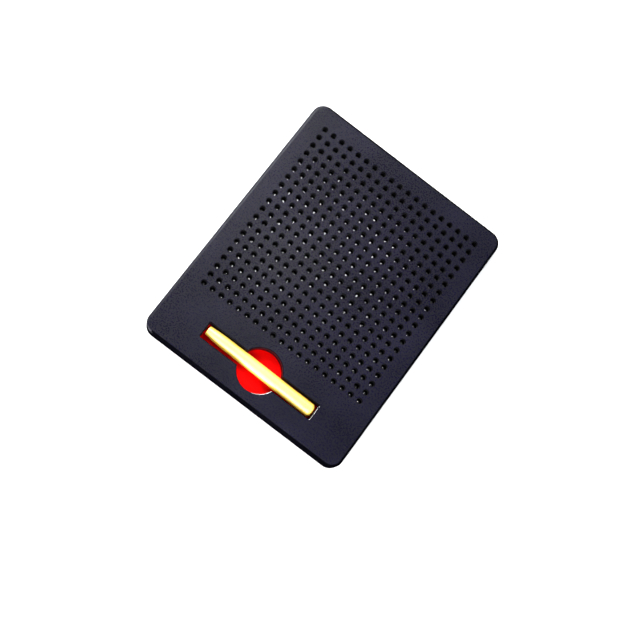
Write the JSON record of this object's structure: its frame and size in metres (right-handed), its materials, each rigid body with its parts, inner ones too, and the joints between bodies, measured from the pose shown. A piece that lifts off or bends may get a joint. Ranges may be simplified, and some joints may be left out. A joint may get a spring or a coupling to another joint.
{
  "type": "magnetic ball drawing board",
  "caption": "Black tablet with a square grid of holes over loose steel balls that a magnet in a yellow stylus pulls up, and a red-floored tray that stores the stylus.",
  "frame": {"origin": "middle of the flat back of the board, in the plane it rests on", "axes": "+Z out of the front face, +Y towards the top of the board, away from the stylus tray, +X to the right"},
  "size_m": [0.155, 0.195, 0.0107],
  "materials": {
    "black_shell": "fine moulded grain, satin",
    "black_inner": "plain moulded",
    "mat": "matt flexible sheet",
    "red_cover": "smooth moulded",
    "screw_steel": "zinc plated",
    "ball_steel": "polished bearing steel",
    "yellow_plastic": "glossy moulded",
    "magnet": "nickel plated"
  },
  "bodies": {
    "board": {"front_shell": "black_shell", "retaining_mat": "mat", "ball_cell_plate": "black_inner", "back_cover": "red_cover", "back_cover_screws": "screw_steel"},
    "row_01": {"ball_row_01": "ball_steel"},
    "row_02": {"ball_row_02": "ball_steel"},
    "row_03": {"ball_row_03": "ball_steel"},
    "row_04": {"ball_row_04": "ball_steel"},
    "row_05": {"ball_row_05": "ball_steel"},
    "row_06": {"ball_row_06": "ball_steel"},
    "row_07": {"ball_row_07": "ball_steel"},
    "row_08": {"ball_row_08": "ball_steel"},
    "row_09": {"ball_row_09": "ball_steel"},
    "row_10": {"ball_row_10": "ball_steel"},
    "row_11": {"ball_row_11": "ball_steel"},
    "row_12": {"ball_row_12": "ball_steel"},
    "row_13": {"ball_row_13": "ball_steel"},
    "row_14": {"ball_row_14": "ball_steel"},
    "row_15": {"ball_row_15": "ball_steel"},
    "row_16": {"ball_row_16": "ball_steel"},
    "row_17": {"ball_row_17": "ball_steel"},
    "row_18": {"ball_row_18": "ball_steel"},
    "row_19": {"ball_row_19": "ball_steel"},
    "row_20": {"ball_row_20": "ball_steel"},
    "stylus": {"stylus_barrel": "yellow_plastic", "stylus_magnet": "magnet", "stylus_end_plug": "yellow_plastic"}
  },
  "joints": [
    {"name": "row_01_rise", "type": "slide", "parent": "board", "child": "row_01", "axis": [0, 0, 1], "range_m": [0, 0.0049], "deforming": ["retaining_mat"]},
    {"name": "row_02_rise", "type": "slide", "parent": "board", "child": "row_02", "axis": [0, 0, 1], "range_m": [0, 0.0049], "deforming": ["retaining_mat"]},
    {"name": "row_03_rise", "type": "slide", "parent": "board", "child": "row_03", "axis": [0, 0, 1], "range_m": [0, 0.0049], "deforming": ["retaining_mat"]},
    {"name": "row_04_rise", "type": "slide", "parent": "board", "child": "row_04", "axis": [0, 0, 1], "range_m": [0, 0.0049], "deforming": ["retaining_mat"]},
    {"name": "row_05_rise", "type": "slide", "parent": "board", "child": "row_05", "axis": [0, 0, 1], "range_m": [0, 0.0049], "deforming": ["retaining_mat"]},
    {"name": "row_06_rise", "type": "slide", "parent": "board", "child": "row_06", "axis": [0, 0, 1], "range_m": [0, 0.0049], "deforming": ["retaining_mat"]},
    {"name": "row_07_rise", "type": "slide", "parent": "board", "child": "row_07", "axis": [0, 0, 1], "range_m": [0, 0.0049], "deforming": ["retaining_mat"]},
    {"name": "row_08_rise", "type": "slide", "parent": "board", "child": "row_08", "axis": [0, 0, 1], "range_m": [0, 0.0049], "deforming": ["retaining_mat"]},
    {"name": "row_09_rise", "type": "slide", "parent": "board", "child": "row_09", "axis": [0, 0, 1], "range_m": [0, 0.0049], "deforming": ["retaining_mat"]},
    {"name": "row_10_rise", "type": "slide", "parent": "board", "child": "row_10", "axis": [0, 0, 1], "range_m": [0, 0.0049], "deforming": ["retaining_mat"]},
    {"name": "row_11_rise", "type": "slide", "parent": "board", "child": "row_11", "axis": [0, 0, 1], "range_m": [0, 0.0049], "deforming": ["retaining_mat"]},
    {"name": "row_12_rise", "type": "slide", "parent": "board", "child": "row_12", "axis": [0, 0, 1], "range_m": [0, 0.0049], "deforming": ["retaining_mat"]},
    {"name": "row_13_rise", "type": "slide", "parent": "board", "child": "row_13", "axis": [0, 0, 1], "range_m": [0, 0.0049], "deforming": ["retaining_mat"]},
    {"name": "row_14_rise", "type": "slide", "parent": "board", "child": "row_14", "axis": [0, 0, 1], "range_m": [0, 0.0049], "deforming": ["retaining_mat"]},
    {"name": "row_15_rise", "type": "slide", "parent": "board", "child": "row_15", "axis": [0, 0, 1], "range_m": [0, 0.0049], "deforming": ["retaining_mat"]},
    {"name": "row_16_rise", "type": "slide", "parent": "board", "child": "row_16", "axis": [0, 0, 1], "range_m": [0, 0.0049], "deforming": ["retaining_mat"]},
    {"name": "row_17_rise", "type": "slide", "parent": "board", "child": "row_17", "axis": [0, 0, 1], "range_m": [0, 0.0049], "deforming": ["retaining_mat"]},
    {"name": "row_18_rise", "type": "slide", "parent": "board", "child": "row_18", "axis": [0, 0, 1], "range_m": [0, 0.0049], "deforming": ["retaining_mat"]},
    {"name": "row_19_rise", "type": "slide", "parent": "board", "child": "row_19", "axis": [0, 0, 1], "range_m": [0, 0.0049], "deforming": ["retaining_mat"]},
    {"name": "row_20_rise", "type": "slide", "parent": "board", "child": "row_20", "axis": [0, 0, 1], "range_m": [0, 0.0049], "deforming": ["retaining_mat"]},
    {"name": "stylus_lift", "type": "slide", "parent": "board", "child": "stylus", "axis": [0, 0, 1], "range_m": [0, 0.035]}
  ]
}
